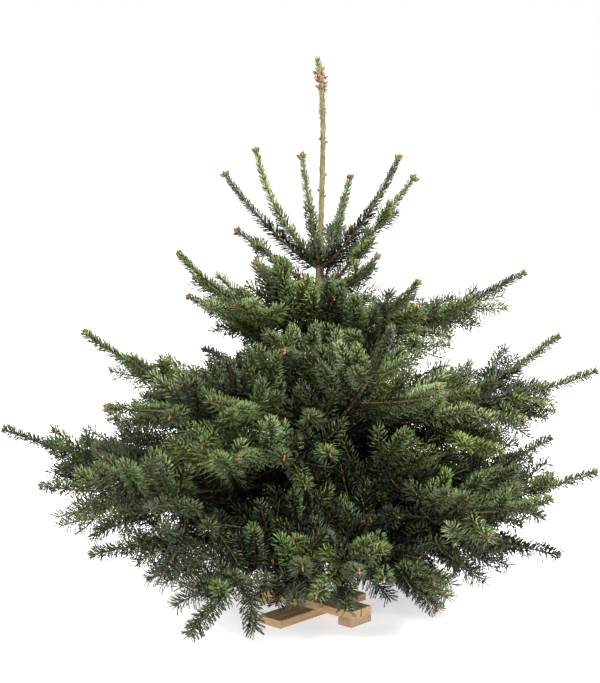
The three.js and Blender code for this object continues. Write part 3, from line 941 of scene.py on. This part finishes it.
# %% The boughs' bark
BOUGH_SIDES, BOUGH_RELIEF = 8, 0.5 * MM
bm = bmesh.new()
for name in WHORLS:
    for shoots in TREE[name]:
        stem = shoots[0]
        t = np.linspace(0, 1, 26)
        sweep(bm, stem.line.point(t), stem.line.tangent(t), stem.radius(t), BOUGH_SIDES, BOUGH_RELIEF)
bmesh.ops.recalc_face_normals(bm, faces=bm.faces)
mesh = bpy.data.meshes.new("boughs_bark")
bm.to_mesh(mesh)
bm.free()
BOUGH_BARK = bark("fir_bough_bark", 4.55 * MM, ["#2f271b", "#473b2a", "#5e503a"])
LIMBS = [f"bough_{key}_{k + 1}" for key in ("middle", "lower") for k in range(8)]
piece("boughs_bark", mesh, [BOUGH_BARK], "bark", *LIMBS)
print("boughs_bark", len(mesh.polygons), "faces")

# %% The trunk's bark
TRUNK_SIDES, TRUNK_RELIEF = 20, 1.0 * MM
FOOT, LAST_WHORL = LEAN[1][0], WHORLS["crown"]["height"]
bm = bmesh.new()
heights = np.concatenate([np.arange(FOOT, LAST_WHORL, 9), np.arange(LAST_WHORL, TOP, 5), [TOP]])
leans = np.array([between(LEAN, h) for h in heights])
centres = np.stack([leans, np.zeros(len(heights)), heights], axis=1) * MM
run = unit(np.gradient(centres, axis=0))
radii = np.array([between(TAPER, h) for h in heights]) * MM
sweep(bm, centres, run, radii, TRUNK_SIDES, TRUNK_RELIEF)
bmesh.ops.recalc_face_normals(bm, faces=bm.faces)
mesh = bpy.data.meshes.new("trunk_bark")
bm.to_mesh(mesh)
bm.free()
TRUNK_BARK = bark("fir_trunk_bark", 6.25 * MM, ["#352d24", "#4c4236", "#665c4d"])
piece("trunk_bark", mesh, [TRUNK_BARK], "bark", "trunk")
print("trunk_bark", len(mesh.polygons), "faces")

# %% [markdown]
# ## The leader
#
# The year's leader is almost bare. It keeps the pegs of fallen needles, a few side buds where next year's
# internodal shoots would start, a crown of fat buds near its top, and a small green tuft at the very tip. The
# solids have these buds as plain knobs, and the same places get the real ones here.

# %% The leader's buds
# Height and azimuth of the side buds, and where the crown of buds starts and how many it has.
LEADER_BUDS = [
    (948, 20), (962, 200), (990, 300), (1068, 15), (1074, 170), (1196, 10), (1204, 130), (1212, 250),
]
BUD_CROWN = {"low": 1180, "step": 2.2, "count": 22}


def on_leader(height, azimuth):
    """A point on the leader's bark and the direction that it faces."""
    out = direction(azimuth, 0)
    centre = np.array([between(LEAN, height), 0, height])
    return (centre + out * between(TAPER, height) * 0.85) * MM, out


rng = np.random.default_rng(77)
rows = []
for height, azimuth in LEADER_BUDS:
    for turn in (0, 55):
        place, out = on_leader(height + turn * 0.1, azimuth + turn)
        rows.append((place, unit(out + UP * rng.uniform(0.6, 1.2)), rng.uniform(9, 12) * MM))
for k in range(BUD_CROWN["count"]):
    place, out = on_leader(BUD_CROWN["low"] + BUD_CROWN["step"] * k, GOLDEN_ANGLE * k)
    rows.append((place, unit(out + UP * rng.uniform(0.3, 1.0)), rng.uniform(10, 14) * MM))
piece("buds_leader", bud_mesh("buds_leader", "leader", rows, rng), BUD_FINISH, "bark", "trunk")

# %% The leader's needles
# Short pegs all the way up, longer and real needles at its foot, and the tuft.
PEGS = {"count": 420, "low": 820, "run": 365, "length": 6}
FOOT_NEEDLES = {"all": 820, "none": 890, "longer": 14}
TUFT = {"count": 60, "low": 1222, "high": 1247, "length": 10, "lean": (-0.12, 0, 0)}
LEADER_WIDTH = 2.2 * MM

pegs = np.sort(PEGS["low"] + PEGS["run"] * rng.random(PEGS["count"]) ** 0.85)
peg_spins = GOLDEN_ANGLE * np.arange(PEGS["count"]) + rng.uniform(-15, 15, PEGS["count"])
heights = np.append(pegs, rng.uniform(TUFT["low"], TUFT["high"], TUFT["count"]))
spins = np.append(peg_spins, GOLDEN_ANGLE * np.arange(TUFT["count"]))
spots = [on_leader(height, spin) for height, spin in zip(heights, spins)]
origins, outs = (np.array([spot[k] for spot in spots]) for k in range(2))
is_tuft = heights >= TUFT["low"]
heading = unit(outs * np.where(is_tuft, 0.45, 0.8)[:, None] + UP + TUFT["lean"] * is_tuft[:, None])
normals = unit(outs - heading * np.sum(outs * heading, axis=1, keepdims=True)) * -1
lower = np.clip((FOOT_NEEDLES["none"] - heights) / (FOOT_NEEDLES["none"] - FOOT_NEEDLES["all"]), 0, 1)
lengths = np.where(is_tuft, TUFT["length"], PEGS["length"] + FOOT_NEEDLES["longer"] * lower)
sizes = lengths * rng.uniform(0.7, 1.3, len(heights)) * MM
vertices, faces = scatter(NEEDLE, origins, heading, normals, sizes, np.full(len(sizes), LEADER_WIDTH))
tints = np.where(is_tuft, FRESH, rng.choice(range(LEAF, FRESH + 1), len(heights)))
mesh = array_mesh("needles_leader", vertices, faces, needle_slots(tints))
piece("needles_leader", mesh, NEEDLE_FINISH, "needles", "trunk")
print("needles_leader", len(sizes), "needles")

# %% [markdown]
# ## The wooden cross
#
# The stand is rough-sawn pine: two boards, one over the other, with a block under each end of the upper one.
# The CAD boards already have their chamfers and the saw kerf, so they keep their own shape and get the wood.
# Growth rings are cylinders round the tree's pith. Rings drawn round one axis give stripes on the long faces
# and arcs on the end grain at once, as they do in a real board. The saw leaves fine scratches across.

# %% Sawn pine
RING = 3.2 * MM
# At a scale of 1, a wave texture has 20 / (2 pi) rings to the metre.
RING_SCALE = 2 * math.pi / (20 * RING)
# Streaks and saw scratches follow the grain: about 80 mm long and 6 mm wide.
STREAKS_PER_METRE = (12, 160, 160)
LOWER_TURN, UPPER_TURN = 47.5, -42.5


def pine(name, turn, pith):
    """Sawn pine whose grain runs along a board turned by `turn` degrees, its pith at `pith` metres.

    Dry and unvarnished: pale and dull, with the darker summer wood as thin lines and a slight roughness.
    """
    material, shader = finish(name, "#d2b184", 0.72, 0.35)
    where = add(material, "ShaderNodeTexCoord").outputs["Object"]
    turned_in = {"Rotation": (0, 0, math.radians(-turn)), "Location": pith}
    board = add(material, "ShaderNodeMapping", Vector=where, **turned_in).outputs["Vector"]
    wave = {"wave_type": "RINGS", "rings_direction": "X", "wave_profile": "SAW"}
    warp = {"Distortion": 2.2, "Detail": 2, "Detail_Scale": 0.6}
    rings = add(material, "ShaderNodeTexWave", wave, Vector=board, Scale=RING_SCALE, **warp).outputs["Fac"]
    wood = [(0.0, "#cbb392"), (0.55, "#bfa27e"), (0.88, "#9c7650"), (1.0, "#c4aa88")]
    color = colored(add(material, "ShaderNodeValToRGB", Fac=rings), wood)
    streak = add(material, "ShaderNodeMapping", Vector=board, Scale=STREAKS_PER_METRE).outputs["Vector"]
    stain = add(material, "ShaderNodeTexNoise", Vector=streak, Scale=1, Detail=4).outputs["Fac"]
    shade = colored(add(material, "ShaderNodeValToRGB", Fac=stain), [(0.35, "#b79a78"), (0.65, "#ffffff")])
    multiply = {"data_type": "RGBA", "blend_type": "MULTIPLY"}
    mixed = add(material, "ShaderNodeMix", multiply, _0=0.45, _6=color, _7=shade)
    material.node_tree.links.new(mixed.outputs[2], shader.inputs["Base Color"])
    saw = add(material, "ShaderNodeTexNoise", Vector=streak, Scale=3, Detail=3).outputs["Fac"]
    bump = add(material, "ShaderNodeBump", Height=saw, Strength=0.35, Distance=0.3 * MM).outputs["Normal"]
    material.node_tree.links.new(bump, shader.inputs["Normal"])
    return material


BOARDS = {
    "lower_board": pine("sawn_pine_lower_board", LOWER_TURN, (0, 0.01, 0.06)),
    "upper_board": pine("sawn_pine_upper_board", UPPER_TURN, (0, -0.012, 0.05)),
    "foot_block_front": pine("sawn_pine_block_front", UPPER_TURN, (0, 0.02, -0.07)),
    "foot_block_back": pine("sawn_pine_block_back", UPPER_TURN, (0, -0.02, -0.06)),
}
for node, material in BOARDS.items():
    for slot in bpy.data.objects[node].material_slots:
        slot.material = material
    print(node, len(bpy.data.objects[node].material_slots), "slot in", material.name)
